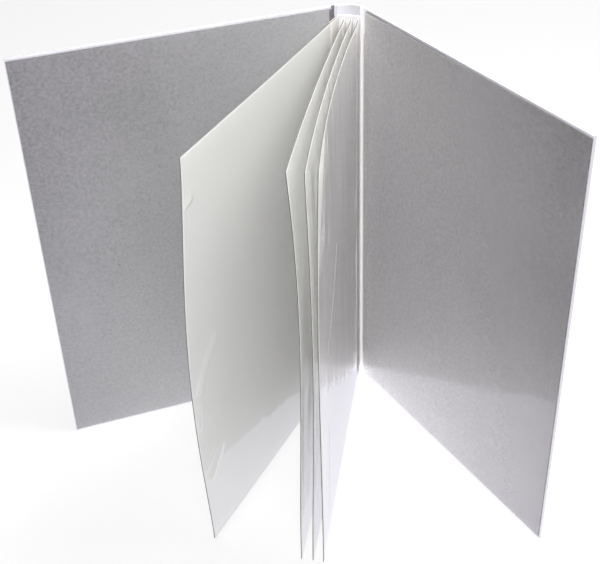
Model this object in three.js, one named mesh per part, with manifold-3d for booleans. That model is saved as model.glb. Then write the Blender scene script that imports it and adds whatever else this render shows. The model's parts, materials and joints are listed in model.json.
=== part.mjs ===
// A self-adhesive photo album that stands open on its lower edges, seen into from the front.
// Millimetres. +Z runs up the spine, the leaves open towards -Y, and the origin is the middle
// of the spine's foot. Two stiff covers and four leaves turn about upright hinge lines.

import * as THREE from "three";
import { mergeVertices } from "three/addons/utils/BufferGeometryUtils.js";
import Module from "manifold-3d";

const wasm = await Module();
wasm.setup();

// Case: one wrap round two boards and a flexible spine strip
const COVER_WIDTH = 215;
const COVER_HEIGHT = 307;
const BOARD_THICKNESS = 1.0;
const WRAP_THICKNESS = 0.25;
const TURN_IN = 16;
const BOARD_SETBACK = 2.2;
const FRONT_COVER_ANGLE = 211.2;
const BACK_COVER_ANGLE = 313.7;

// Inner face of each cover: a sticky panel under a clear film
const PANEL_THICKNESS = 0.5;
const PANEL_GUTTER_MARGIN = 2.5;
const PANEL_FORE_MARGIN = 1.3;
const PANEL_HEAD_MARGIN = 2.2;
const COVER_FILM_SEAM = 4.5;
const FILM_TRIM = 1.0;
const JOINT_LINING_THICKNESS = 0.25;
const JOINT_LINING_REACH = 24;

// Rounded spine
const SPINE_WIDTH = 20;
const SPINE_BULGE = 2.8;
const LINER_THICKNESS = 0.6;
const MULL_THICKNESS = 0.4;
const MULL_INSET = 1.5;
const LINER_INSET = 1.0;
const LINING_END_GAP = 2;

// Book block: a guard for each leaf, with card spacers between the guards
const BLOCK_WIDTH = 16;
const ROOT_PITCH = 4.6;
const ROOT_DEPTH = 3.0;
const GUARD_THICKNESS = 0.5;
const SPACER_RECESS = 0.8;

// Leaves
const LEAF_FORE_GAP = 11;
const LEAF_HEAD_GAP = 6.5;
const LEAF_TAIL_GAP = 3.5;
const LEAF_THICKNESS = 1.0;
const STRIP_THICKNESS = 0.2;
const STRIP_WIDTH = 12;
const CREASE_WIDTH = 3.4;
const CARD_START = 5;
const FILM_THICKNESS = 0.15;
const FILM_GAP = 0.25;
const FILM_SEAM = 13;
const LEAF_FILM_TRIM = 1.5;

// Room between pieces that lie on each other, and across a hinge line
const CLEARANCE = 0.2;
const HINGE_GAP = 0.15;

// How far a cutting solid runs past what it cuts
const OVERCUT = 1;

// Each leaf's direction at its foot, and how far its card has warped (mm along its normal):
// the head of the fore edge swings, the head edge bows, and the fore edge bows at a height
// given as a share of the leaf.
const LEAVES = [
  { angle: 255.3, headSwing: 4.1, headBow: 0.4, foreBow: -7.4, foreBowAt: 0.48 },
  { angle: 271.6, headSwing: 0.4, headBow: -1.6, foreBow: 4.1, foreBowAt: 0.64 },
  { angle: 272.5, headSwing: 2.5, headBow: -2.6, foreBow: 2.4, foreBowAt: 0.56 },
  { angle: 273.2, headSwing: 2.6, headBow: -3.9, foreBow: -1.4, foreBowAt: 0.66 },
];

// Facets, and how broad a bow is
const BOW_FULLNESS = 3;
const ARC_STEPS = 10;
const BLOCK_STEPS = 3;
const LEAF_COLUMNS = 9;
const LEAF_ROWS = 8;

// Worked-out places
const WRAPPED_BOARD = BOARD_THICKNESS + 2 * WRAP_THICKNESS + 2 * CLEARANCE;
const WRAPPED_LINER = LINER_THICKNESS + 2 * WRAP_THICKNESS + 2 * CLEARANCE;
const SPINE_HALF = SPINE_WIDTH / 2;
const SPINE_RADIUS = (SPINE_HALF ** 2 + SPINE_BULGE ** 2) / (2 * SPINE_BULGE);
const HINGE_Y = WRAPPED_LINER / 2 - SPINE_BULGE;
const ARC_CENTRE_Y = HINGE_Y + SPINE_BULGE - SPINE_RADIUS;
const MULL_OUTER = SPINE_RADIUS - WRAP_THICKNESS - LINER_THICKNESS - 2 * CLEARANCE;
const BLOCK_RADIUS = MULL_OUTER - MULL_THICKNESS - CLEARANCE;
const ROOT_Y = HINGE_Y - ROOT_DEPTH;
const LEAF_HEIGHT = COVER_HEIGHT - LEAF_HEAD_GAP - LEAF_TAIL_GAP;
const LEAF_LENGTH = COVER_WIDTH - LEAF_FORE_GAP;
const radians = (degrees) => (degrees * Math.PI) / 180;

// Finishes
const finish = (color, roughness) =>
  new THREE.MeshStandardMaterial({ color, roughness, metalness: 0 });
const WHITE_WRAP = finish(0xebe9f0, 0.35);
const GREYBOARD = finish(0xb3ada3, 0.9);
const PAGE_CARD = finish(0xbdbcb8, 0.8);
const PANEL_CARD = finish(0xa6a4a8, 0.75);
const CLOTH = finish(0xe6e3dc, 0.9);
const STRIP_PAPER = finish(0xecebee, 0.7);
const CLEAR_FILM = new THREE.MeshStandardMaterial({
  color: 0xf2f4f8,
  roughness: 0.1,
  metalness: 0,
  transparent: true,
  opacity: 0.3,
});

// A three.js shape as a solid for joining and cutting
function solidOf(geometry) {
  const bare = geometry.index ? geometry.toNonIndexed() : geometry.clone();
  bare.deleteAttribute("normal");
  bare.deleteAttribute("uv");
  const merged = mergeVertices(bare);
  return new wasm.Manifold(
    new wasm.Mesh({
      numProp: 3,
      vertProperties: merged.getAttribute("position").array,
      triVerts: new Uint32Array(merged.index.array),
    }),
  );
}

function geometryOf(solid) {
  const { vertProperties, triVerts } = solid.getMesh();
  const geometry = new THREE.BufferGeometry();
  geometry.setAttribute("position", new THREE.BufferAttribute(vertProperties, 3));
  geometry.setIndex(new THREE.BufferAttribute(triVerts, 1));
  geometry.computeVertexNormals();
  return geometry;
}

function piece(name, geometry, material) {
  const mesh = new THREE.Mesh(geometry, material);
  mesh.name = name;
  return mesh;
}

function box([x0, x1], [y0, y1], [z0, z1]) {
  const geometry = new THREE.BoxGeometry(x1 - x0, y1 - y0, z1 - z0);
  return geometry.translate((x0 + x1) / 2, (y0 + y1) / 2, (z0 + z1) / 2);
}

function upright(shape, z0, z1) {
  const options = { depth: z1 - z0, bevelEnabled: false, curveSegments: ARC_STEPS };
  return new THREE.ExtrudeGeometry(shape, options).translate(0, 0, z0);
}

// Spine: strips bent to one arc, from the wrap inwards

function arcStrip(innerRadius, outerRadius, halfWidth, z0, z1) {
  const sweep = Math.asin(halfWidth / SPINE_RADIUS);
  const from = Math.PI / 2 - sweep;
  const to = Math.PI / 2 + sweep;
  const shape = new THREE.Shape();
  shape.absarc(0, ARC_CENTRE_Y, outerRadius, from, to, false);
  shape.absarc(0, ARC_CENTRE_Y, innerRadius, to, from, true);
  return upright(shape, z0, z1);
}

// The wrap runs on past the liner at both ends and folds in over it.
function spineWrap() {
  const inside = SPINE_RADIUS - WRAPPED_LINER;
  const pocketOuter = SPINE_RADIUS - WRAP_THICKNESS;
  const pocketInner = inside + WRAP_THICKNESS;
  const foldHalf = SPINE_HALF - LINER_INSET;
  const sheet = arcStrip(pocketOuter, SPINE_RADIUS, SPINE_HALF - HINGE_GAP, 0, COVER_HEIGHT);
  const folded = arcStrip(inside, SPINE_RADIUS, foldHalf, 0, COVER_HEIGHT);
  const pocket = arcStrip(
    pocketInner,
    pocketOuter,
    foldHalf + OVERCUT / 2,
    WRAP_THICKNESS,
    COVER_HEIGHT - WRAP_THICKNESS,
  );
  const window = arcStrip(
    inside - OVERCUT,
    pocketInner + CLEARANCE / 2,
    foldHalf + OVERCUT / 2,
    TURN_IN,
    COVER_HEIGHT - TURN_IN,
  );
  const wrapped = solidOf(folded).subtract(solidOf(pocket)).subtract(solidOf(window));
  return geometryOf(wrapped.add(solidOf(sheet)));
}

function spineLiner() {
  const outer = SPINE_RADIUS - WRAP_THICKNESS - CLEARANCE;
  const end = WRAP_THICKNESS + CLEARANCE;
  const half = SPINE_HALF - LINER_INSET;
  return arcStrip(outer - LINER_THICKNESS, outer, half, end, COVER_HEIGHT - end);
}

function spineMull() {
  const end = TURN_IN + LINING_END_GAP;
  const half = SPINE_HALF - MULL_INSET;
  return arcStrip(MULL_OUTER - MULL_THICKNESS, MULL_OUTER, half, end, COVER_HEIGHT - end);
}

// Book block: upright strips whose backs follow the spine's arc

function blockStrip(x0, x1, frontY) {
  const backY = (x) => ARC_CENTRE_Y + Math.sqrt(BLOCK_RADIUS ** 2 - x ** 2);
  const shape = new THREE.Shape();
  shape.moveTo(x0, frontY);
  shape.lineTo(x1, frontY);
  for (let i = 0; i <= BLOCK_STEPS; i++) {
    const x = x1 + ((x0 - x1) * i) / BLOCK_STEPS;
    shape.lineTo(x, backY(x));
  }
  return upright(shape, LEAF_TAIL_GAP, LEAF_TAIL_GAP + LEAF_HEIGHT);
}

const rootX = (i) => (i - (LEAVES.length - 1) / 2) * ROOT_PITCH;

function bookBlock() {
  const pieces = [];
  const guardHalf = GUARD_THICKNESS / 2;
  const spacerFront = ROOT_Y + SPACER_RECESS;
  let spacerStart = -BLOCK_WIDTH / 2;
  for (let i = 0; i <= LEAVES.length; i++) {
    const last = i === LEAVES.length;
    const spacerEnd = last ? BLOCK_WIDTH / 2 : rootX(i) - guardHalf - CLEARANCE;
    const spacer = blockStrip(spacerStart, spacerEnd, spacerFront);
    pieces.push(piece(`spacer_${i + 1}`, spacer, PAGE_CARD));
    if (last) break;
    const guard = blockStrip(rootX(i) - guardHalf, rootX(i) + guardHalf, ROOT_Y + HINGE_GAP);
    pieces.push(piece(`leaf_guard_${i + 1}`, guard, STRIP_PAPER));
    spacerStart = rootX(i) + guardHalf + CLEARANCE;
  }
  return pieces;
}

// Covers: x runs from the hinge line to the fore edge, and depth from the outer face inwards

function cover(name, hingeX, angle, inward) {
  const slab = (x, [d0, d1], z) => {
    const depths = [inward * d0, inward * d1].sort((a, b) => a - b);
    return box(x, depths, z);
  };
  const whole = [0, COVER_HEIGHT];
  const turnStart = WRAPPED_BOARD - WRAP_THICKNESS;

  const sheet = slab([HINGE_GAP, COVER_WIDTH], [0, WRAP_THICKNESS], whole);
  const folded = slab([BOARD_SETBACK, COVER_WIDTH], [0, WRAPPED_BOARD], whole);
  const pocket = slab(
    [BOARD_SETBACK - OVERCUT, COVER_WIDTH - WRAP_THICKNESS],
    [WRAP_THICKNESS, turnStart],
    [WRAP_THICKNESS, COVER_HEIGHT - WRAP_THICKNESS],
  );
  const window = slab(
    [BOARD_SETBACK - OVERCUT, COVER_WIDTH - TURN_IN],
    [turnStart - CLEARANCE / 2, WRAPPED_BOARD + OVERCUT],
    [TURN_IN, COVER_HEIGHT - TURN_IN],
  );
  const wrapped = solidOf(folded).subtract(solidOf(pocket)).subtract(solidOf(window));
  const wrap = geometryOf(wrapped.add(solidOf(sheet)));

  const boardEnd = WRAP_THICKNESS + CLEARANCE;
  const board = slab(
    [BOARD_SETBACK, COVER_WIDTH - boardEnd],
    [boardEnd, boardEnd + BOARD_THICKNESS],
    [boardEnd, COVER_HEIGHT - boardEnd],
  );
  const liningStart = boardEnd + BOARD_THICKNESS + CLEARANCE;
  const jointLining = slab(
    [BOARD_SETBACK, BOARD_SETBACK + JOINT_LINING_REACH],
    [liningStart, liningStart + JOINT_LINING_THICKNESS],
    [TURN_IN + LINING_END_GAP, COVER_HEIGHT - TURN_IN - LINING_END_GAP],
  );
  const panelStart = WRAPPED_BOARD + CLEARANCE;
  const panelEnd = COVER_WIDTH - PANEL_FORE_MARGIN;
  const panel = slab(
    [PANEL_GUTTER_MARGIN, panelEnd],
    [panelStart, panelStart + PANEL_THICKNESS],
    [PANEL_HEAD_MARGIN, COVER_HEIGHT - PANEL_HEAD_MARGIN],
  );
  const filmStart = panelStart + PANEL_THICKNESS + FILM_GAP;
  const filmEnd = PANEL_HEAD_MARGIN + FILM_TRIM;
  const film = slab(
    [COVER_FILM_SEAM, panelEnd - FILM_TRIM],
    [filmStart, filmStart + FILM_THICKNESS],
    [filmEnd, COVER_HEIGHT - filmEnd],
  );

  const group = new THREE.Group();
  group.position.set(hingeX, HINGE_Y, 0);
  group.rotation.z = radians(angle);
  group.add(
    piece(`${name}_wrap`, wrap, WHITE_WRAP),
    piece(`${name}_board`, board, GREYBOARD),
    piece(`${name}_joint_lining`, jointLining, CLOTH),
    piece(`${name}_panel`, panel, PANEL_CARD),
    piece(`${name}_film`, film, CLEAR_FILM),
  );
  return group;
}

// Leaves: x runs from the root to the fore edge, y is the right-hand side, z starts at the tail

// How far a leaf's middle surface stands off its flat plane at a point
function warp(leaf, x, z) {
  const s = Math.max(0, (x - FILM_SEAM) / (LEAF_LENGTH - FILM_SEAM));
  const t = z / LEAF_HEIGHT;
  const peak = leaf.foreBowAt;
  const rise = (t / peak) ** (BOW_FULLNESS * peak);
  const fall = ((1 - t) / (1 - peak)) ** (BOW_FULLNESS * (1 - peak));
  const head = leaf.headBow * 4 * s * (1 - s) * t ** 2;
  return leaf.headSwing * s * t + head + leaf.foreBow * s ** 2 * rise * fall;
}

const evenly = (from, to, cells) =>
  Array.from({ length: cells + 1 }, (_, i) => from + ((to - from) * i) / cells);

// A closed sheet on the grid xs by zs, between two offsets from the leaf's middle surface
function warpedSheet(leaf, xs, [y0, y1], zs) {
  const points = [];
  for (const offset of [y0, y1]) {
    for (const z of zs) {
      for (const x of xs) points.push(x, offset + warp(leaf, x, z), z);
    }
  }
  const at = (side, row, column) => (side * zs.length + row) * xs.length + column;
  const faces = [];
  const quad = (a, b, c, d) => faces.push(a, b, c, a, c, d);
  const rows = zs.length - 1;
  const columns = xs.length - 1;
  for (let r = 0; r < rows; r++) {
    for (let c = 0; c < columns; c++) {
      quad(at(0, r, c), at(0, r, c + 1), at(0, r + 1, c + 1), at(0, r + 1, c));
      quad(at(1, r, c), at(1, r + 1, c), at(1, r + 1, c + 1), at(1, r, c + 1));
    }
    quad(at(0, r, 0), at(0, r + 1, 0), at(1, r + 1, 0), at(1, r, 0));
    quad(at(0, r, columns), at(1, r, columns), at(1, r + 1, columns), at(0, r + 1, columns));
  }
  for (let c = 0; c < columns; c++) {
    quad(at(0, 0, c), at(1, 0, c), at(1, 0, c + 1), at(0, 0, c + 1));
    quad(at(0, rows, c), at(0, rows, c + 1), at(1, rows, c + 1), at(1, rows, c));
  }
  const geometry = new THREE.BufferGeometry();
  geometry.setAttribute("position", new THREE.Float32BufferAttribute(points, 3));
  geometry.setIndex(faces);
  geometry.computeVertexNormals();
  return geometry;
}

// The strip is one tongue at the crease, and opens into two arms that hold the card.
function hingeStrip() {
  const armInner = LEAF_THICKNESS / 2 + CLEARANCE;
  const armOuter = armInner + STRIP_THICKNESS;
  const armStart = CARD_START - CLEARANCE;
  const shape = new THREE.Shape();
  shape.moveTo(HINGE_GAP, -STRIP_THICKNESS);
  shape.lineTo(CREASE_WIDTH, -STRIP_THICKNESS);
  shape.lineTo(armStart, -armOuter);
  shape.lineTo(STRIP_WIDTH, -armOuter);
  shape.lineTo(STRIP_WIDTH, -armInner);
  shape.lineTo(armStart, -armInner);
  shape.lineTo(CREASE_WIDTH + STRIP_THICKNESS, 0);
  shape.lineTo(armStart, armInner);
  shape.lineTo(STRIP_WIDTH, armInner);
  shape.lineTo(STRIP_WIDTH, armOuter);
  shape.lineTo(armStart, armOuter);
  shape.lineTo(CREASE_WIDTH, STRIP_THICKNESS);
  shape.lineTo(HINGE_GAP, STRIP_THICKNESS);
  return upright(shape, 0, LEAF_HEIGHT);
}

function leafGroup(leaf, i) {
  const name = `leaf_${i + 1}`;
  const half = LEAF_THICKNESS / 2;
  const filmXs = evenly(FILM_SEAM, LEAF_LENGTH - LEAF_FILM_TRIM, LEAF_COLUMNS);
  const filmZs = evenly(LEAF_FILM_TRIM, LEAF_HEIGHT - LEAF_FILM_TRIM, LEAF_ROWS);
  const cardXs = [CARD_START, ...filmXs, LEAF_LENGTH];
  const cardZs = [0, ...filmZs, LEAF_HEIGHT];
  const near = half + FILM_GAP;
  const far = near + FILM_THICKNESS;
  const card = warpedSheet(leaf, cardXs, [-half, half], cardZs);
  const leftFilm = warpedSheet(leaf, filmXs, [-far, -near], filmZs);
  const rightFilm = warpedSheet(leaf, filmXs, [near, far], filmZs);

  const group = new THREE.Group();
  group.position.set(rootX(i), ROOT_Y, LEAF_TAIL_GAP);
  group.rotation.z = radians(leaf.angle);
  group.add(
    piece(`${name}_card`, card, PAGE_CARD),
    piece(`${name}_hinge_strip`, hingeStrip(), STRIP_PAPER),
    piece(`${name}_film_left`, leftFilm, CLEAR_FILM),
    piece(`${name}_film_right`, rightFilm, CLEAR_FILM),
  );
  return group;
}

// Assembly
const album = new THREE.Group();
album.name = "photo_album";
album.add(
  piece("spine_wrap", spineWrap(), WHITE_WRAP),
  piece("spine_liner", spineLiner(), GREYBOARD),
  piece("spine_mull", spineMull(), CLOTH),
  ...bookBlock(),
  cover("front_cover", -SPINE_HALF, FRONT_COVER_ANGLE, 1),
  cover("back_cover", SPINE_HALF, BACK_COVER_ANGLE, -1),
  ...LEAVES.map(leafGroup),
);

export default album;
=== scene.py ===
# %% [markdown]
# A white photo album stands on its lower edges, fanned open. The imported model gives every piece
# its size, its place and its hinge. This script gives the same pieces their real surfaces: paper
# wrap, grey panels, warped cards, and clear film that mirrors whatever stands beside it.

# %% The frame
import json
import math

import bmesh
import bpy
import numpy as np
from mathutils import Matrix, Vector


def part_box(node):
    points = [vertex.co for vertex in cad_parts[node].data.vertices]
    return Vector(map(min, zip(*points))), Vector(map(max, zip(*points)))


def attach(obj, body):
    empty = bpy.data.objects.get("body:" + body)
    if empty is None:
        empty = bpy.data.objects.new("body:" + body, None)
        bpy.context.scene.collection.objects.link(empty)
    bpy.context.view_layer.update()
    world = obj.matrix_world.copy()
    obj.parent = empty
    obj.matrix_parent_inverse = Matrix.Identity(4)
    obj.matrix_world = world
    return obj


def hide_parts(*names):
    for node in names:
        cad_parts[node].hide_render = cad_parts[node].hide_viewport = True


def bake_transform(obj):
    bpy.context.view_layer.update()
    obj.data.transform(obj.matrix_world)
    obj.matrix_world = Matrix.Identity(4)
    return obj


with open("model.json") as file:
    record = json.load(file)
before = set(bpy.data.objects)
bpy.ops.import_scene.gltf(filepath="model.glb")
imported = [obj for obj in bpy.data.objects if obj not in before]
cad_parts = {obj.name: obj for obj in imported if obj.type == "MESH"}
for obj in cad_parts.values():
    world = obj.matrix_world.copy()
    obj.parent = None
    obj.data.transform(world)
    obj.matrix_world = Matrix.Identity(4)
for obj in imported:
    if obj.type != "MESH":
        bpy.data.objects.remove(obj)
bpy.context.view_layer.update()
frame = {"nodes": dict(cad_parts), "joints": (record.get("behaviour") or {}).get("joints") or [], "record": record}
MM = 0.001
LEAF_NAMES = ["leaf_1", "leaf_2", "leaf_3", "leaf_4"]

# %% [markdown]
# Every sheet here turns about an upright hinge line, so each gets its own flat coordinates: x runs
# from the hinge towards the fore edge, y is the left-hand normal of that direction, and z is up.
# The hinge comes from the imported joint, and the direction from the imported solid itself, so that a
# change in the model moves the dressed piece with it.

# %% Local coordinates of a hinged sheet
HINGES = {joint["name"]: joint for joint in frame["joints"]}


def corners(node):
    """The node's vertices, without doubles, as an array."""
    points = [tuple(round(c, 7) for c in v.co) for v in frame["nodes"][node].data.vertices]
    return np.array(sorted(set(points)))


class Leafwise:
    """Turns flat coordinates beside one upright hinge line into the model's frame and back."""

    def __init__(self, joint, along):
        self.hinge = np.array(HINGES[joint]["pos_m"])
        self.along = np.array([along[0], along[1], 0.0]) / math.hypot(along[0], along[1])
        self.across = np.array([-self.along[1], self.along[0], 0.0])

    def place(self, x, y, z):
        x, y, z = np.broadcast_arrays(np.asarray(x, float), y, z)
        flat = x[..., None] * self.along + y[..., None] * self.across
        return self.hinge + flat + z[..., None] * np.array([0.0, 0.0, 1.0])

    def read(self, points):
        offset = np.asarray(points) - self.hinge
        return offset @ self.along, offset @ self.across, np.asarray(points)[:, 2]


def strip_direction(leaf):
    """From the hinge line to the middle of the strip's far edge."""
    hinge = np.array(HINGES[leaf + "_hinge"]["pos_m"])[:2]
    offset = corners(leaf + "_hinge_strip")[:, :2] - hinge
    reach = np.linalg.norm(offset, axis=1)
    return offset[reach > reach.max() - 1e-5].mean(axis=0)


def cover_direction(mount):
    """Along the cover, square to the outward normal of its outer face."""
    normal = next(m["axis"] for m in frame["record"]["mounts"] if m["name"] == mount)
    along = np.array([-normal[1], normal[0]])
    return along if along[1] < 0 else -along


leaf_space = {leaf: Leafwise(leaf + "_hinge", strip_direction(leaf)) for leaf in LEAF_NAMES}
cover_space = {
    "front_cover": Leafwise("front_cover_hinge", cover_direction("front_cover_face")),
    "back_cover": Leafwise("back_cover_hinge", cover_direction("back_cover_face")),
}
INWARD = {"front_cover": 1, "back_cover": -1}
for name, space in {**leaf_space, **cover_space}.items():
    angle = math.degrees(math.atan2(space.along[1], space.along[0])) % 360
    print(f"{name} stands at {angle:.1f} degrees")

# %% [markdown]
# The camera comes from the photograph's perspective: the corners of both covers and the foot of
# the spine fix where it stood. It looks down on the album from the front, a little from the right.

# %% Camera
CAMERA_AT = Vector((0.1255, -0.6969, 0.5912))
CAMERA_TURN, CAMERA_DIP, CAMERA_ROLL = 13.39, 35.65, -2.12
CAMERA_LENS = 67.65

camera_data = bpy.data.cameras.new("camera")
camera_data.lens = CAMERA_LENS
camera_data.clip_start = 0.01
camera = bpy.data.objects.new("camera", camera_data)
bpy.context.scene.collection.objects.link(camera)
camera.matrix_world = (
    Matrix.Translation(CAMERA_AT)
    @ Matrix.Rotation(math.radians(CAMERA_TURN), 4, "Z")
    @ Matrix.Rotation(math.radians(90 - CAMERA_DIP), 4, "X")
    @ Matrix.Rotation(math.radians(CAMERA_ROLL), 4, "Z")
)
bpy.context.scene.camera = camera
bpy.context.scene.view_settings.view_transform = "Standard"
print("camera axes", [tuple(round(c, 3) for c in row[:3]) for row in camera.matrix_world.transposed()])

# %% [markdown]
# Light goes in and out through a film at every bounce between two leaves, and a film has two faces.
# So a path needs room for many clear surfaces, or the narrow gaps of the fan turn black.

# %% Length of a light path
cycles = bpy.context.scene.cycles
cycles.transparent_max_bounces = 64
cycles.max_bounces = 16
cycles.diffuse_bounces = 10
cycles.glossy_bounces = 8
print("a path may cross", cycles.transparent_max_bounces, "clear surfaces")

# %% [markdown]
# Shader maths reads best as plain expressions. A small class wraps a socket, so that adding or
# multiplying it makes the Math node, and one method adds any other node.

# %% Shader maths
def linear(red, green, blue):
    """A colour written in 0 to 255, as the linear values that a shader takes."""
    return tuple(
        c / 12.92 if c <= 0.04045 else ((c + 0.055) / 1.055) ** 2.4
        for c in (red / 255, green / 255, blue / 255)
    ) + (1.0,)


class Term:
    """A number that comes out of a node."""

    def __init__(self, recipe, socket):
        self.recipe = recipe
        self.socket = socket

    def _maths(self, operation, a, b):
        return self.recipe.node("ShaderNodeMath", {"operation": operation}, {0: a, 1: b})

    def __add__(self, other):
        return self._maths("ADD", self, other)

    def __rsub__(self, other):
        return self._maths("SUBTRACT", other, self)

    def __mul__(self, other):
        return self._maths("MULTIPLY", self, other)

    def __truediv__(self, other):
        return self._maths("DIVIDE", self, other)

    __radd__ = __add__
    __rmul__ = __mul__


class Recipe:
    """One material, written as the nodes that make it."""

    def __init__(self, name, tree=None):
        if tree is None:
            self.material = bpy.data.materials.new(name)
            self.material.use_nodes = True
            tree = self.material.node_tree
        self.tree = tree
        self.tree.nodes.clear()

    def node(self, kind, settings=None, inputs=None, output=0):
        made = self.tree.nodes.new(kind)
        for key, value in (settings or {}).items():
            if key == "stops":
                elements = made.color_ramp.elements
                while len(elements) < len(value):
                    elements.new(0.5)
                for element, (position, colour) in zip(elements, value):
                    element.position = position
                    element.color = colour
            else:
                setattr(made, key, value)
        for key, value in (inputs or {}).items():
            if isinstance(value, Term):
                self.tree.links.new(value.socket, made.inputs[key])
            elif value is not None:
                made.inputs[key].default_value = value
        return Term(self, made.outputs[output])

    def surface(self, shader):
        out = self.tree.nodes.new("ShaderNodeOutputMaterial")
        self.tree.links.new(shader.socket, out.inputs["Surface"])
        return self.material

    def place(self):
        return self.node("ShaderNodeTexCoord", output="Object")

    def scaled(self, vector, scale):
        return self.node("ShaderNodeMapping", None, {"Vector": vector, "Scale": scale})

    def noise(self, vector, scale, detail=3.0, roughness=0.5):
        sizes = {"Vector": vector, "Scale": scale, "Detail": detail, "Roughness": roughness}
        return self.node("ShaderNodeTexNoise", None, sizes)

    def ramp(self, value, stops):
        grey = [(position, (level, level, level, 1.0)) for position, level in stops]
        return self.node("ShaderNodeValToRGB", {"stops": grey}, {"Fac": value})

    def blend(self, share, first, second):
        return self.node(
            "ShaderNodeMix", {"data_type": "RGBA"}, {0: share, 6: first, 7: second}, output=2
        )

    def bump(self, height, strength, distance):
        sizes = {"Height": height, "Strength": strength, "Distance": distance}
        return self.node("ShaderNodeBump", None, sizes)


def paint(piece, material):
    piece.data.materials.clear()
    piece.data.materials.append(material)


# %% [markdown]
# The album stands on a white table. The camera and every reflection see the table and the
# background as white, and the table still takes a faint shadow. To the rest of the light the table
# is a board that glows softly and throws light up into the fan, as a large white sweep does in a
# studio. Five soft lamps do the rest, one of them close above the gutter, where little else reaches.

# %% Table, background and lamps
TABLE_GLOW = {"camera": 0.78, "mirrored": 0.8}
MIRRORED_TINT = (0.93, 0.915, 1.0, 1.0)
LIGHT_TABLE = 0.98
WORLD_LEVEL = 0.05


def ray_kinds(recipe, *kinds):
    path = recipe.tree.nodes.new("ShaderNodeLightPath")
    return [Term(recipe, path.outputs[f"Is {kind} Ray"]) for kind in kinds]


def table_white():
    recipe = Recipe("table_white")
    camera_ray, glossy_ray, clear_ray = ray_kinds(recipe, "Camera", "Glossy", "Transmission")
    seen = camera_ray + glossy_ray + clear_ray
    level = camera_ray * (TABLE_GLOW["camera"] - TABLE_GLOW["mirrored"]) + TABLE_GLOW["mirrored"]
    plain = recipe.node("ShaderNodeBsdfDiffuse", None, {"Color": (0.85, 0.85, 0.86, 1)})
    glowing = recipe.node("ShaderNodeEmission", None, {"Color": (1, 1, 1, 1), "Strength": LIGHT_TABLE})
    board = recipe.node("ShaderNodeAddShader", None, {0: plain, 1: glowing})
    shadowed = recipe.node("ShaderNodeBsdfDiffuse", None, {"Color": (0.3, 0.3, 0.31, 1)})
    tint = recipe.blend(camera_ray, MIRRORED_TINT, (1, 1, 1, 1))
    glow = recipe.node("ShaderNodeEmission", None, {"Color": tint, "Strength": level})
    lit = recipe.node("ShaderNodeAddShader", None, {0: shadowed, 1: glow})
    return recipe.surface(recipe.node("ShaderNodeMixShader", None, {0: seen, 1: board, 2: lit}))


bpy.ops.mesh.primitive_plane_add(size=6)
table = bpy.context.object
table.name = "table"
paint(table, table_white())

world = bpy.data.worlds.new("studio")
bpy.context.scene.world = world
world.use_nodes = True
sky = Recipe("studio", world.node_tree)
sky_camera, sky_glossy, sky_clear = ray_kinds(sky, "Camera", "Glossy", "Transmission")
white = sky.node("ShaderNodeBackground", None, {"Color": (1, 1, 1, 1), "Strength": 1.0})
soft = sky.node("ShaderNodeBackground", None, {"Color": (1, 1, 1, 1), "Strength": WORLD_LEVEL})
sky_seen = sky_camera + sky_glossy + sky_clear
sky_mix = sky.node("ShaderNodeMixShader", None, {0: sky_seen, 1: soft, 2: white})
sky_out = sky.tree.nodes.new("ShaderNodeOutputWorld")
sky.tree.links.new(sky_mix.socket, sky_out.inputs["Surface"])


def soft_box(name, at, aim, width, height, power):
    data = bpy.data.lights.new(name, "AREA")
    data.shape = "RECTANGLE"
    data.size = width
    data.size_y = height
    data.energy = power
    lamp = bpy.data.objects.new(name, data)
    lamp.visible_camera = False
    bpy.context.scene.collection.objects.link(lamp)
    turn = (Vector(aim) - Vector(at)).to_track_quat("-Z", "Y")
    lamp.matrix_world = Matrix.Translation(at) @ turn.to_matrix().to_4x4()
    return lamp


soft_box("over", (0.05, -0.15, 1.25), (0, -0.1, 0.15), 0.5, 0.5, 3.2)
soft_box("upper right", (0.5, 0.1, 1.1), (0, -0.1, 0.15), 0.35, 0.35, 7.2)
soft_box("front", (0.15, -0.8, 0.7), (0, -0.08, 0.15), 0.4, 0.3, 2.6)
soft_box("behind", (0.1, 1.7, 1.1), (0, 0, 0.15), 1.4, 0.8, 6)
soft_box("gutter", (0.12, -0.1, 0.62), (0, -0.06, 0.25), 0.12, 0.12, 1.1)

# %% [markdown]
# Paper and board are matt, and never one flat colour: fibres give a fine mottle, and larger patches
# are a touch lighter or darker. The wrap has a thin laminate over it, so it gets a soft coat. Page
# card is thin enough to let light through, so most of its light goes to a Translucent shader. At
# the joints no board lies behind the wrap, and some light comes through. There the same paper is
# painted whiter and given a faint glow: painted light for the brightness that light from behind gives.

# %% Papers
THROUGH_SHARE = 0.8
JOINT_THROUGH = 0.2
JOINT_PAINTED_GLOW = 0.3


def wrap_paper():
    recipe = Recipe("wrap_paper")
    place = recipe.place()
    grain = recipe.noise(place, 1400.0, 4.0, 0.6)
    patches = recipe.noise(place, 14.0, 3.0)
    colour = recipe.blend(patches, linear(211, 210, 217), linear(219, 218, 224))
    shader = recipe.node("ShaderNodeBsdfPrincipled", None, {
        "Base Color": colour,
        "Roughness": 0.36 + 0.12 * grain,
        "Coat Weight": 0.25,
        "Coat Roughness": 0.25,
        "Normal": recipe.bump(grain, 0.12, 0.0002),
    })
    return recipe.surface(shader)


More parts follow.
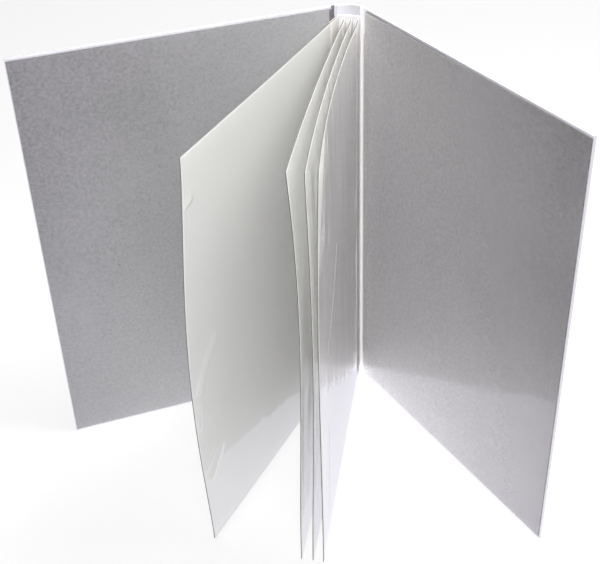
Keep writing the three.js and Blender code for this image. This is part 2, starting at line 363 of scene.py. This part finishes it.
def joint_paper():
    """The same paper with no board behind: painted whiter, a painted glow, and some light through."""
    recipe = Recipe("joint_paper")
    grain = recipe.noise(recipe.place(), 1400.0, 4.0, 0.6)
    shader = recipe.node("ShaderNodeBsdfPrincipled", None, {
        # Painted light: whiter than the wrap, and glowing, for the light that reaches the joint from behind.
        "Base Color": recipe.blend(grain, linear(246, 246, 247), linear(251, 251, 252)),
        "Roughness": 0.36 + 0.12 * grain,
        "Normal": recipe.bump(grain, 0.12, 0.0002),
        "Emission Color": (1.0, 1.0, 0.98, 1.0),
        "Emission Strength": JOINT_PAINTED_GLOW,
    })
    passed = recipe.node("ShaderNodeBsdfTranslucent", None, {"Color": linear(252, 251, 252)})
    mixed = recipe.node("ShaderNodeMixShader", None, {0: JOINT_THROUGH, 1: shader, 2: passed})
    return recipe.surface(mixed)


def mottled_card(name, dark, light, fibre_scale, through=None, coat=None, contrast=0.16, across=2.6):
    """Card with fibres that run across. Thin card also lets a share of the light through."""
    recipe = Recipe(name)
    place = recipe.place()
    fibres = recipe.noise(recipe.scaled(place, (1.0, 1.0, across)), fibre_scale, 5.0, 0.65)
    patches = recipe.noise(place, 9.0, 2.0)
    share = recipe.ramp(fibres * 0.62 + patches * 0.38, [(0.5 - contrast, 0.0), (0.5 + contrast, 1.0)])
    shader = recipe.node("ShaderNodeBsdfPrincipled", None, {
        "Base Color": recipe.blend(share, dark, light),
        "Roughness": 0.62 + 0.2 * fibres,
        "Normal": recipe.bump(fibres, 0.18, 0.0003),
        **(coat or {}),
    })
    if through is not None:
        passed = recipe.node("ShaderNodeBsdfTranslucent", None, {"Color": through})
        shader = recipe.node("ShaderNodeMixShader", None, {0: THROUGH_SHARE, 1: shader, 2: passed})
    return recipe.surface(shader)


def woven_cloth(name, colour):
    recipe = Recipe(name)
    place = recipe.place()
    threads = {"Vector": place, "Scale": 420.0, "Distortion": 0.4}
    weft = recipe.node("ShaderNodeTexWave", {"bands_direction": "Z"}, threads, output="Fac")
    warp = recipe.node("ShaderNodeTexWave", {"bands_direction": "X"}, threads, output="Fac")
    shader = recipe.node("ShaderNodeBsdfPrincipled", None, {
        "Base Color": recipe.blend(weft * warp, colour, linear(214, 210, 202)),
        "Roughness": 0.85,
        "Normal": recipe.bump(weft * 0.5 + warp * 0.5, 0.3, 0.0003),
    })
    return recipe.surface(shader)


WRAP = wrap_paper()
JOINT_PAINTED_LIGHT = joint_paper()
STRIP = mottled_card("strip_paper", linear(226, 225, 230), linear(238, 237, 242), 900.0)
PAGE = mottled_card(
    "page_card", linear(235, 235, 234), linear(243, 243, 242), 700.0, linear(249, 249, 247)
)
TACKY = {"Coat Weight": 1.0, "Coat Roughness": 0.3}
PANEL = mottled_card(
    "panel_card", linear(64, 61, 67), linear(121, 117, 123), 430.0,
    coat=TACKY, contrast=0.11, across=1.2,
)
BOARD = mottled_card("greyboard", linear(160, 154, 145), linear(190, 184, 174), 500.0)
CLOTH = woven_cloth("lining_cloth", linear(236, 233, 226))
COATED = {"Coat Weight": 1.0, "Coat Roughness": 0.08}
STRIP_COATED = mottled_card(
    "coated_strip", linear(238, 237, 236), linear(245, 244, 244), 900.0, linear(249, 248, 246), COATED
)
# Painted shade: the rim is darker than the card's core alone, to hold down the light it catches.
CARD_EDGE_AND_SHADE = mottled_card("card_edge", linear(102, 101, 100), linear(116, 115, 114), 1500.0)
PAPERS = (WRAP, JOINT_PAINTED_LIGHT, STRIP, PAGE, PANEL, BOARD, CLOTH, STRIP_COATED, CARD_EDGE_AND_SHADE)
print("papers:", ", ".join(paper.name for paper in PAPERS))

# %% [markdown]
# Clear film is hardly there until it mirrors something. Its two faces together send back nearly
# twice the Fresnel share: less than a tenth of the light when seen square on, and most of it near
# grazing. Glass would be the other way, but light that bends through so many films gets lost. So the
# share goes into the alpha, and what is left of the alpha is a faint milky haze. The milkiness is
# stored on the film's points, and the old film over a panel is speckled as well. On the front cover
# it has gone matt, and mirrors only a blur.

# %% Film
MILK_COLOUR = (0.93, 0.93, 0.95, 1.0)
PANEL_MILK_COLOUR = (0.945, 0.92, 0.95, 1.0)
MATT_ROUGHNESS = 0.45


def clear_film(name, haze, ripple_height, roughness=0.07, milk_colour=MILK_COLOUR, speckle=0.0):
    recipe = Recipe(name)
    place = recipe.place()
    fresnel = recipe.node("ShaderNodeFresnel", None, {"IOR": 1.5})
    back = recipe.node("ShaderNodeNewGeometry", output="Backfacing")
    # The stored milk also carries painted light on the covers.
    milk = recipe.node("ShaderNodeAttribute", {"attribute_name": "milk"}, output="Fac")
    mirror = 2.0 * fresnel / (1.0 + fresnel)
    if speckle > 0:
        specks = recipe.noise(place, 520.0, 4.0, 0.65)
        milk = milk * (1.0 - 0.5 * speckle + speckle * specks)
    cover = mirror + (1.0 - mirror) * (milk + haze)
    ripples = recipe.noise(recipe.scaled(place, (1.0, 1.0, 0.22)), 60.0, 2.0)
    shader = recipe.node("ShaderNodeBsdfPrincipled", None, {
        "Base Color": milk_colour,
        "Metallic": mirror / cover,
        "Roughness": roughness,
        "Alpha": cover * (1.0 - back),
        "Normal": recipe.bump(ripples, 1.0, ripple_height),
    })
    return recipe.surface(shader)


LEAF_FILM = clear_film("leaf_film", 0.05, 0.0006)
COVER_FILM = clear_film("cover_film", 0.08, 0.0006, milk_colour=PANEL_MILK_COLOUR, speckle=0.9)
MATT_FILM = clear_film("matt_film", 0.005, 0.0003, MATT_ROUGHNESS, speckle=0.9)
print("films:", LEAF_FILM.name, COVER_FILM.name, MATT_FILM.name)

# %% [markdown]
# Every sheet of the album is a thin closed slab: two grids of points, one for each face, joined
# round the rim. A small bevel takes the sharpness off the rim, as a guillotine and a thumb do.

# %% Thin closed slabs
RIM_SEGMENTS = 3
RIM_ANGLE = 50
RIM_FACING = 0.97


def slab(name, front, back, bevel=0.0):
    """A closed mesh between two grids of points of the same size."""
    rows, columns = front.shape[:2]
    mesh = bpy.data.meshes.new(name)
    points = np.concatenate([front.reshape(-1, 3), back.reshape(-1, 3)])
    index = np.arange(rows * columns).reshape(rows, columns)
    a, b, c, d = index[:-1, :-1], index[:-1, 1:], index[1:, 1:], index[1:, :-1]
    near = np.stack([a, b, c, d], axis=-1).reshape(-1, 4)
    far = near[:, ::-1] + rows * columns
    rim = np.concatenate([index[0, :], index[1:, -1], index[-1, -2::-1], index[-2:0:-1, 0]])
    following = np.roll(rim, -1)
    sides = np.stack([following, rim, rim + rows * columns, following + rows * columns], axis=-1)
    mesh.from_pydata(points.tolist(), [], np.concatenate([near, far, sides]).tolist())
    mesh.update()
    tidy = bmesh.new()
    tidy.from_mesh(mesh)
    bmesh.ops.recalc_face_normals(tidy, faces=tidy.faces)
    tidy.to_mesh(mesh)
    tidy.free()
    piece = bpy.data.objects.new(name, mesh)
    bpy.context.scene.collection.objects.link(piece)
    if bevel > 0:
        rounding = piece.modifiers.new("rim", "BEVEL")
        rounding.width = bevel
        rounding.segments = RIM_SEGMENTS
        rounding.limit_method = "ANGLE"
        rounding.angle_limit = math.radians(RIM_ANGLE)
        finish_mesh(piece)
    smooth(piece)
    return piece


def finish_mesh(piece):
    """The evaluated piece as a plain mesh, with its modifiers gone."""
    depsgraph = bpy.context.evaluated_depsgraph_get()
    result = bpy.data.meshes.new_from_object(piece.evaluated_get(depsgraph))
    piece.modifiers.clear()
    piece.data = result
    return piece


def smooth(piece, crease=40):
    piece.data.shade_smooth()
    piece.data.set_sharp_from_angle(angle=math.radians(crease))


def paint_rim(piece, material, across):
    """Gives the faces that look along the sheet, and not across it, a material of their own."""
    piece.data.materials.append(material)
    for polygon in piece.data.polygons:
        if abs(polygon.normal.dot(Vector(across))) < RIM_FACING:
            polygon.material_index = len(piece.data.materials) - 1


def count(piece):
    return sum(len(p.vertices) - 2 for p in piece.data.polygons)


# %% [markdown]
# The case is one sheet of paper: over the front board, round the spine and over the back board. It
# bends at the two joints, so it is made in two halves that meet in the middle of the spine, and
# each half runs from its cover round onto the spine. Between the board's edge and the spine's liner
# there is only paper, which sinks into a shallow groove. On the inside, the front panel's grey paper
# runs on into the joint, and the back joint shows the bare paper with the light behind it.

# %% The case
SPINE_PAPER = 1.5 * MM
GROOVE_DEPTH = 0.4 * MM
GROOVE_REACH = 1.5 * MM
JOINT_PAPER = 0.6 * MM
MATERIAL_IN_JOINT = {
    "front_cover": {"material": PANEL, "from": 0.2 * MM, "to": 2.9 * MM},
    # Painted light: the back joint gets the whiter, glowing paper.
    "back_cover": {"material": JOINT_PAINTED_LIGHT, "from": -1.6 * MM, "to": 6.0 * MM},
}
FACES_IN = 0.2
RIM_ROUND = 0.45 * MM
NEAR_JOINT, JOINT_REACH = 8 * MM, 3 * MM
THIN_MIDDLE, THIN_HALF, THIN_EASE = 0.5 * MM, 1.5 * MM, 0.2 * MM
END_ZONE = 6 * MM
BEND = 4 * MM

spine_low, spine_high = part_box("spine_wrap")
COVER_HEIGHT = spine_high.z - spine_low.z
cover_x, cover_depth, _ = cover_space["front_cover"].read(corners("front_cover_wrap"))
COVER_WIDTH = cover_x.max()
COVER_DEPTH = cover_depth.max()
hinge_x = abs(cover_space["front_cover"].hinge[0])
spine_bulge = spine_high.y - cover_space["front_cover"].hinge[1]
SPINE_RADIUS = (hinge_x**2 + spine_bulge**2) / (2 * spine_bulge)
SPINE_CENTRE = np.array([0.0, spine_high.y - SPINE_RADIUS])
SPINE_SWEEP = math.asin(hinge_x / SPINE_RADIUS)
print(f"cover {COVER_WIDTH:.4f} x {COVER_HEIGHT:.4f}, spine radius {SPINE_RADIUS:.4f}")


def spread(*runs):
    """Places along a line: each run is (from, to, number of steps)."""
    places = [np.linspace(start, end, steps, endpoint=False) for start, end, steps in runs]
    return np.append(np.concatenate(places), runs[-1][1])


def case_half(cover):
    space = cover_space[cover]
    side = INWARD[cover]
    half_arc = SPINE_RADIUS * SPINE_SWEEP
    reach = spread(
        (COVER_WIDTH, NEAR_JOINT, 24), (NEAR_JOINT, JOINT_REACH, 6),
        (JOINT_REACH, -JOINT_REACH, 24), (-JOINT_REACH, -half_arc, 12),
    )
    groove = np.exp(-((reach / GROOVE_REACH) ** 2))
    outer_depth = GROOVE_DEPTH * groove
    full = np.where(reach > 0, COVER_DEPTH, SPINE_PAPER)
    dip = 1 / (1 + np.exp(-(np.abs(reach - THIN_MIDDLE) - THIN_HALF) / THIN_EASE))
    inner_depth = outer_depth + JOINT_PAPER + (full - outer_depth - JOINT_PAPER) * dip
    head = COVER_HEIGHT - END_ZONE
    heights = spread((0, END_ZONE, 3), (END_ZONE, head, 24), (head, COVER_HEIGHT, 3))

    def surface(depth):
        on_cover = space.place(reach, side * depth, 0.0)
        turn = math.pi / 2 + side * (SPINE_SWEEP + np.minimum(reach, 0) / SPINE_RADIUS)
        radius = SPINE_RADIUS - depth
        on_spine = np.stack([radius * np.cos(turn), radius * np.sin(turn) + SPINE_CENTRE[1]], axis=-1)
        plan = np.where((reach > 0)[:, None], on_cover[:, :2], on_spine)
        grid = np.empty((len(heights), len(reach), 3))
        grid[..., :2] = plan
        grid[..., 2] = heights[:, None]
        return grid

    piece = slab(cover + "_case", surface(outer_depth), surface(inner_depth), RIM_ROUND)
    paint(piece, WRAP)
    inner = MATERIAL_IN_JOINT[cover]
    piece.data.materials.append(inner["material"])
    inward = Vector(side * space.across)
    along, _, _ = space.read([polygon.center for polygon in piece.data.polygons])
    for polygon, place in zip(piece.data.polygons, along):
        faces_in = polygon.normal.dot(inward) > FACES_IN
        polygon.material_index = int(faces_in and inner["from"] < place < inner["to"])
    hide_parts(cover + "_wrap", "spine_wrap")
    start = space.place(BEND, 0.0, COVER_HEIGHT / 2)
    spine_turn = math.pi / 2 + side * (SPINE_SWEEP - BEND / SPINE_RADIUS)
    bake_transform(piece)
    print(piece.name, count(piece), "triangles")
    return piece


for cover in INWARD:
    case_half(cover)

# %% [markdown]
# Each inner cover carries a grey card panel, which leaves a narrow white border of wrap. Paint on
# the board would be flat, so the panel is a thin slab of its own, and its edge catches the light. It
# starts far enough from the hinge to clear the block of strips when the cover closes.

# %% Cover panels
def evenly(low, high, steps):
    return np.linspace(low, high, steps + 1)


PANEL_FROM_HINGE = {"front_cover": 2.4 * MM, "back_cover": 5.0 * MM}
PANEL_FORE_MARGIN = 0.5 * MM
PANEL_HEAD_MARGIN = 1.7 * MM
PANEL_FOOT_MARGIN = 2.0 * MM
PANEL_SINKS = 0.02 * MM
SHEET_ROUND = 0.12 * MM


def panel_places(cover, steps):
    xs = evenly(PANEL_FROM_HINGE[cover], COVER_WIDTH - PANEL_FORE_MARGIN, steps[0])
    zs = evenly(spine_low.z + PANEL_FOOT_MARGIN, spine_high.z - PANEL_HEAD_MARGIN, steps[1])
    return xs, zs


def cover_panel(cover):
    space = cover_space[cover]
    side = INWARD[cover]
    _, y, _ = space.read(corners(cover + "_panel"))
    base = side * (COVER_DEPTH - PANEL_SINKS)
    face = side * np.abs(y).max()
    grid = np.meshgrid(*panel_places(cover, (30, 40)))
    front = space.place(grid[0], face, grid[1])
    back = space.place(grid[0], base, grid[1])
    piece = slab(cover + "_inner_panel", front, back, SHEET_ROUND)
    paint(piece, PANEL)
    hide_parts(cover + "_panel")
    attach(piece, cover)
    print(piece.name, count(piece), "triangles")


for cover in INWARD:
    cover_panel(cover)

# %% [markdown]
# A leaf's card has warped. Its solid holds that warp as a coarse grid, so the grid is read back
# from the solid and a smooth curve is drawn through it in both directions.

# %% The warp of a leaf
LEVEL_STEP = 0.05 * MM


def through(knots, values, places):
    """A smooth curve through values at knots, read at places, along the first axis."""
    slopes = np.gradient(values, knots, axis=0)
    span = np.clip(np.searchsorted(knots, places) - 1, 0, len(knots) - 2)
    width = (knots[span + 1] - knots[span])[:, None]
    t = (places - knots[span])[:, None] / width
    start, end = values[span], values[span + 1]
    lift = (1 + 2 * t) * (1 - t) ** 2 * start + t**2 * (3 - 2 * t) * end
    return lift + width * (t * (1 - t) ** 2 * slopes[span] - t**2 * (1 - t) * slopes[span + 1])


class Warp:
    """How far a leaf's middle surface stands off its flat plane."""

    def __init__(self, leaf):
        x, y, z = leaf_space[leaf].read(corners(leaf + "_card"))
        self.xs = self._levels(x)
        self.zs = self._levels(z)
        column = np.abs(x[:, None] - self.xs).argmin(axis=1)
        row = np.abs(z[:, None] - self.zs).argmin(axis=1)
        total = np.zeros((len(self.xs), len(self.zs)))
        number = np.zeros_like(total)
        np.add.at(total, (column, row), y)
        np.add.at(number, (column, row), 1)
        self.middle = total / number
        first = (column == 0) & (row == 0)
        self.thickness = np.ptp(y[first])

    @staticmethod
    def _levels(values):
        ordered = np.sort(values)
        starts = np.append(True, np.diff(ordered) > LEVEL_STEP)
        return np.array([group.mean() for group in np.split(ordered, np.flatnonzero(starts)[1:])])

    def at(self, xs, zs):
        along = through(self.xs, self.middle, np.clip(xs, self.xs[0], self.xs[-1]))
        return through(self.zs, along.T, np.clip(zs, self.zs[0], self.zs[-1]))


warps = {leaf: Warp(leaf) for leaf in LEAF_NAMES}
for leaf, warp in warps.items():
    print(leaf, warp.middle.shape, f"thick {warp.thickness:.5f}, warp {np.ptp(warp.middle):.4f}")

# %% [markdown]
# A page is stiff card, cut square by a guillotine. A plane with a Solidify modifier would do, but
# the warp is known on a grid, so the page is a slab about that grid. It is thinner than its solid,
# as the leaves in the photograph are. Its cut edge is darker than its faces, partly the card's grey
# core and partly painted shade, so the faces of the rim get a material of their own.

# %% Leaf cards
CARD_STEPS = (48, 64)
PAGE_THICKNESS = 0.55 * MM


def leaf_card(leaf):
    warp = warps[leaf]
    xs = evenly(warp.xs[0], warp.xs[-1], CARD_STEPS[0])
    zs = evenly(warp.zs[0], warp.zs[-1], CARD_STEPS[1])
    middle = warp.at(xs, zs)
    grid = np.meshgrid(xs, zs)
    half = PAGE_THICKNESS / 2
    left = leaf_space[leaf].place(grid[0], middle - half, grid[1])
    right = leaf_space[leaf].place(grid[0], middle + half, grid[1])
    piece = slab(leaf + "_page", right, left, SHEET_ROUND)
    paint(piece, PAGE)
    paint_rim(piece, CARD_EDGE_AND_SHADE, leaf_space[leaf].across)
    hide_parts(leaf + "_card")
    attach(piece, leaf)
    return piece


for leaf in LEAF_NAMES:
    print(leaf_card(leaf).name, "made")

# %% [markdown]
# A film is a sheet that lies on its card but never quite flat. A Geometry Nodes tree takes the
# smooth face of the card, lifts each point along the normal by a stored looseness times a noise and
# by a stored relief, and gives the sheet its thickness. One tree makes all the films, each with its
# own seed.

# %% A tree that makes a film
FILM_INPUTS = {
    "Gap": 0.06 * MM, "Ripple": 0.25 * MM, "Ripple Length": 22 * MM, "Thickness": 0.1 * MM, "Seed": 0.0
}


def film_tree():
    tree = bpy.data.node_groups.new("film_over_card", "GeometryNodeTree")
    face = tree.interface
    face.new_socket("Geometry", in_out="INPUT", socket_type="NodeSocketGeometry")
    identifiers = {}
    for name, value in FILM_INPUTS.items():
        socket = face.new_socket(name, in_out="INPUT", socket_type="NodeSocketFloat")
        socket.default_value = value
        identifiers[name] = socket.identifier
    socket = face.new_socket("Material", in_out="INPUT", socket_type="NodeSocketMaterial")
    identifiers["Material"] = socket.identifier
    face.new_socket("Geometry", in_out="OUTPUT", socket_type="NodeSocketGeometry")

    nodes, links = tree.nodes, tree.links
    given = nodes.new("NodeGroupInput").outputs
    result = nodes.new("NodeGroupOutput")

    def add(kind, inputs, output=0, **settings):
        made = nodes.new(kind)
        for key, value in settings.items():
            setattr(made, key, value)
        for key, value in inputs.items():
            if isinstance(value, bpy.types.NodeSocket):
                links.new(value, made.inputs[key])
            else:
                made.inputs[key].default_value = value
        return made.outputs[output]

    def maths(operation, a, b):
        return add("ShaderNodeMath", {0: a, 1: b}, operation=operation)

    def stored(name):
        return add("GeometryNodeInputNamedAttribute", {"Name": name}, "Attribute", data_type="FLOAT")

    noise = {"W": given["Seed"], "Scale": maths("DIVIDE", 1.0, given["Ripple Length"]), "Detail": 1.5}
    wave = add("ShaderNodeTexNoise", noise, "Fac", noise_dimensions="4D")
    lift = maths("MULTIPLY", maths("MULTIPLY", wave, given["Ripple"]), stored("loose"))
    lift = maths("ADD", maths("ADD", lift, stored("relief")), given["Gap"])
    normal = add("GeometryNodeInputNormal", {})
    offset = add("ShaderNodeVectorMath", {0: normal, "Scale": lift}, operation="SCALE")
    moved = add("GeometryNodeSetPosition", {"Geometry": given["Geometry"], "Offset": offset})
    wall = {"Mesh": moved, "Offset Scale": given["Thickness"], "Individual": False}
    raised = add("GeometryNodeExtrudeMesh", wall, "Mesh")
    under = add("GeometryNodeFlipFaces", {"Mesh": moved})
    both = nodes.new("GeometryNodeJoinGeometry")
    links.new(raised, both.inputs[0])
    links.new(under, both.inputs[0])
    merged = add("GeometryNodeMergeByDistance", {"Geometry": both.outputs[0], "Distance": 1e-6})
    real = add("GeometryNodeRealizeInstances", {"Geometry": merged})
    painted = add("GeometryNodeSetMaterial", {"Geometry": real, "Material": given["Material"]})
    links.new(painted, result.inputs[0])
    return tree, identifiers


FILM_TREE, FILM_SOCKETS = film_tree()


def film(name, face, marks, body, node, material, seed):
    """A film over a grid of points whose faces look away from the card."""
    rows, columns = face.shape[:2]
    index = np.arange(rows * columns).reshape(rows, columns)
    quads = np.stack([index[:-1, :-1], index[:-1, 1:], index[1:, 1:], index[1:, :-1]], axis=-1)
    mesh = bpy.data.meshes.new(name)
    mesh.from_pydata(face.reshape(-1, 3).tolist(), [], quads.reshape(-1, 4).tolist())
    for mark, values in marks.items():
        attribute = mesh.attributes.new(mark, "FLOAT", "POINT")
        attribute.data.foreach_set("value", values.reshape(-1).astype(np.float32))
    piece = bpy.data.objects.new(name, mesh)
    bpy.context.scene.collection.objects.link(piece)
    modifier = piece.modifiers.new("film", "NODES")
    modifier.node_group = FILM_TREE
    for key, value in {**FILM_INPUTS, "Seed": seed, "Material": material}.items():
        modifier[FILM_SOCKETS[key]] = value
    finish_mesh(piece)
    smooth(piece, 60)
    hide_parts(node)
    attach(piece, body)
    return piece


print("film tree with", len(FILM_TREE.nodes), "nodes")

# %% [markdown]
# Use has marked the films. Leaf 4's has come unstuck at its head corner and stands off the card,
# and its tack has let go along a few upright creases. Leaf 1's has puckered towards the fore edge.
# Each crease is a low ridge along a line, given by its two ends on the leaf, its height and its
# width, all in millimetres, with places counted from the hinge and from the table. The films of the
# covers are milky with age, and their milk is painted heavier towards the hinge and the foot as
# painted light, with an extra band of painted light along the back cover's hinge.

# %% Relief, milkiness and painted light of a film
CREASES = {
    "leaf_4_film_right": [
        ((116, 197), (138, 171), 1.0, 1.6), ((138, 171), (164, 152), 1.0, 1.6),
        ((73, 134), (70, 121), 0.8, 1.5), ((150, 236), (172, 190), 0.20, 2.4),
        ((96, 232), (118, 226), 0.16, 2.0), ((168, 92), (176, 20), 0.30, 2.4),
    ],
    "leaf_1_film_right": [
        ((199, 127), (189, 146), 1.4, 2.2), ((189, 146), (176, 158), 1.2, 2.4),
        ((197, 66), (188, 74), 1.2, 2.0), ((196, 54), (182, 70), 1.1, 2.4),
        ((201, 100), (198, 120), 1.1, 2.2), ((203, 268), (196, 270), 1.2, 1.8),
    ],
    "leaf_2_film_right": [((203, 281), (199, 279), 0.20, 1.4)],
}
FLAP = {"node": "leaf_4_film_right", "from_x": 155 * MM, "from_z": 224 * MM, "height": 2.2 * MM}
ROOT_MILK = {"reach": 26 * MM, "level": 0.1}
RIM_MILK = {"reach": 1.4 * MM, "level": 0.03}
COVER_PAINTED_LIGHT = {"front_cover_film": (0.32, 0.24), "back_cover_film": (0.46, 0.2)}
GUTTER_PAINTED_LIGHT = {"node": "back_cover_film", "reach": 9 * MM, "level": 0.3}
LOOSE_REACH = 6 * MM
RAMP_SOFTNESS = 0.01


def ease(t):
    t = np.clip(t, 0, 1)
    return t * t * (3 - 2 * t)


def soft_ramp(t):
    """Zero below 0 and straight above it, with a rounded start."""
    return (np.sqrt(t * t + RAMP_SOFTNESS) + t - (math.sqrt(1 + RAMP_SOFTNESS) - 1)) / 2 * (t > -0.5)


def rim_distance(x, z):
    return np.minimum(np.minimum(x - x.min(), x.max() - x), np.minimum(z - z.min(), z.max() - z))


def ridge(x, z, start, end, height, width):
    """A low ridge with tapered ends, between two places on the sheet."""
    start, end = np.array(start) * MM, np.array(end) * MM
    run = end - start
    share = ((x - start[0]) * run[0] + (z - start[1]) * run[1]) / (run @ run)
    inside = np.clip(share, 0, 1)
    away = np.hypot(x - start[0] - inside * run[0], z - start[1] - inside * run[1])
    return height * MM * np.exp(-((away / (width * MM)) ** 2))


def film_marks(node, x, z):
    """What is stored on the film's points: looseness, relief, and milkiness with painted light."""
    relief = np.zeros_like(x)
    for crease in CREASES.get(node, []):
        relief = np.maximum(relief, ridge(x, z, *crease))
    if node == FLAP["node"]:
        along = soft_ramp((x - FLAP["from_x"]) / (x.max() - FLAP["from_x"]))
        up = soft_ramp((z - FLAP["from_z"]) / (z.max() - FLAP["from_z"]))
        relief += FLAP["height"] * along * up
    rim = rim_distance(x, z)
    # Painted light: on the covers the milk grows towards the hinge and the foot, brightening the panels.
    if node in COVER_PAINTED_LIGHT:
        at_hinge, at_foot = COVER_PAINTED_LIGHT[node]
        milk = at_hinge * (x.max() - x) / np.ptp(x) + at_foot * (z.max() - z) / np.ptp(z)
        # Painted light: a band beside the back cover's hinge lifts the shade in the gutter.
        if node == GUTTER_PAINTED_LIGHT["node"]:
            milk = milk + GUTTER_PAINTED_LIGHT["level"] * np.exp(-(x - x.min()) / GUTTER_PAINTED_LIGHT["reach"])
    else:
        milk = RIM_MILK["level"] * ease(1 - rim / RIM_MILK["reach"])
        milk = milk + ROOT_MILK["level"] * ease(1 - (x - x.min()) / ROOT_MILK["reach"])
    return {"loose": ease(rim / LOOSE_REACH), "relief": relief, "milk": milk}


print(sum(len(creases) for creases in CREASES.values()), "creases")

# %% [markdown]
# Each film is held along a seam beside the spine, and lifts away from there like a door. A film on a
# cover starts at that seam, and a film on a leaf follows the leaf's warp on its own side. A leaf's
# two films could be one sheet that wraps round it, but each lifts alone, so each is a piece of its
# own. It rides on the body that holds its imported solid.

# %% Films on the covers and the leaves
PLAIN_STEPS = (64, 84)
CREASED_STEPS = {
    "leaf_1_film_right": (150, 160), "leaf_2_film_right": (64, 150), "leaf_4_film_right": (210, 140)
}
FOOT_OVERHANG = 0.8 * MM


def node_body(node):
    bodies = frame["record"]["behaviour"]["bodies"]
    return next(body for body, nodes in bodies.items() if node in nodes)


def cover_film(cover, seed):
    space = cover_space[cover]
    side = INWARD[cover]
    node = cover + "_film"
    _, panel_y, _ = space.read(corners(cover + "_panel"))
    seam_x = space.read(corners(node))[0].min()
    panel_xs, zs = panel_places(cover, PLAIN_STEPS)
    xs = evenly(seam_x, panel_xs[-1], PLAIN_STEPS[0])
    x, z = np.meshgrid(xs, zs)
    face = space.place(x, side * np.abs(panel_y).max(), z)
    marks = film_marks(node, x, z)
    if side > 0:
        face = face[:, ::-1]
        marks = {name: values[:, ::-1] for name, values in marks.items()}
    finish = MATT_FILM if cover == "front_cover" else COVER_FILM
    return film(cover + "_clear_film", face, marks, node_body(node), node, finish, seed)


def leaf_film(leaf, hand, seed):
    warp = warps[leaf]
    node = f"{leaf}_film_{hand}"
    x, _, z = leaf_space[leaf].read(corners(node))
    steps = CREASED_STEPS.get(node, PLAIN_STEPS)
    xs = evenly(x.min(), x.max(), steps[0])
    zs = evenly(z.min() - FOOT_OVERHANG, z.max(), steps[1])
    side = 1 if hand == "right" else -1
    x, z = np.meshgrid(xs, zs)
    face = leaf_space[leaf].place(x, warp.at(xs, zs) + side * PAGE_THICKNESS / 2, z)
    marks = film_marks(node, x, z)
    if side > 0:
        face = face[:, ::-1]
        marks = {name: values[:, ::-1] for name, values in marks.items()}
    return film(f"{leaf}_clear_film_{hand}", face, marks, node_body(node), node, LEAF_FILM, seed)


FIRST_SEED = {"covers": 3.0, "left": 10.0, "right": 20.0}
films = [cover_film(cover, FIRST_SEED["covers"] + number) for number, cover in enumerate(INWARD)]
for number, leaf in enumerate(LEAF_NAMES):
    for hand in ("left", "right"):
        films.append(leaf_film(leaf, hand, FIRST_SEED[hand] + number))
print(len(films), "films,", sum(count(piece) for piece in films), "triangles")

# %% [markdown]
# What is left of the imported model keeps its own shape: the block of strips at the spine, its
# lining, and the boards inside the covers. It only needs its paper, cloth or board. The solids that
# a finer piece stands in for are hidden, and are left in plain wrap.

# %% Block, boards and linings
NODE_FINISH = {"spine_liner": BOARD, "spine_mull": CLOTH}
for cover in INWARD:
    NODE_FINISH[cover + "_board"] = BOARD
    NODE_FINISH[cover + "_joint_lining"] = CLOTH
for node, piece in frame["nodes"].items():
    if node.startswith(("spacer", "leaf_guard")):
        NODE_FINISH[node] = STRIP
    if node.endswith("hinge_strip"):
        NODE_FINISH[node] = STRIP_COATED
    paint(piece, NODE_FINISH.get(node, WRAP))
print(len(NODE_FINISH), "packed nodes keep their shape")
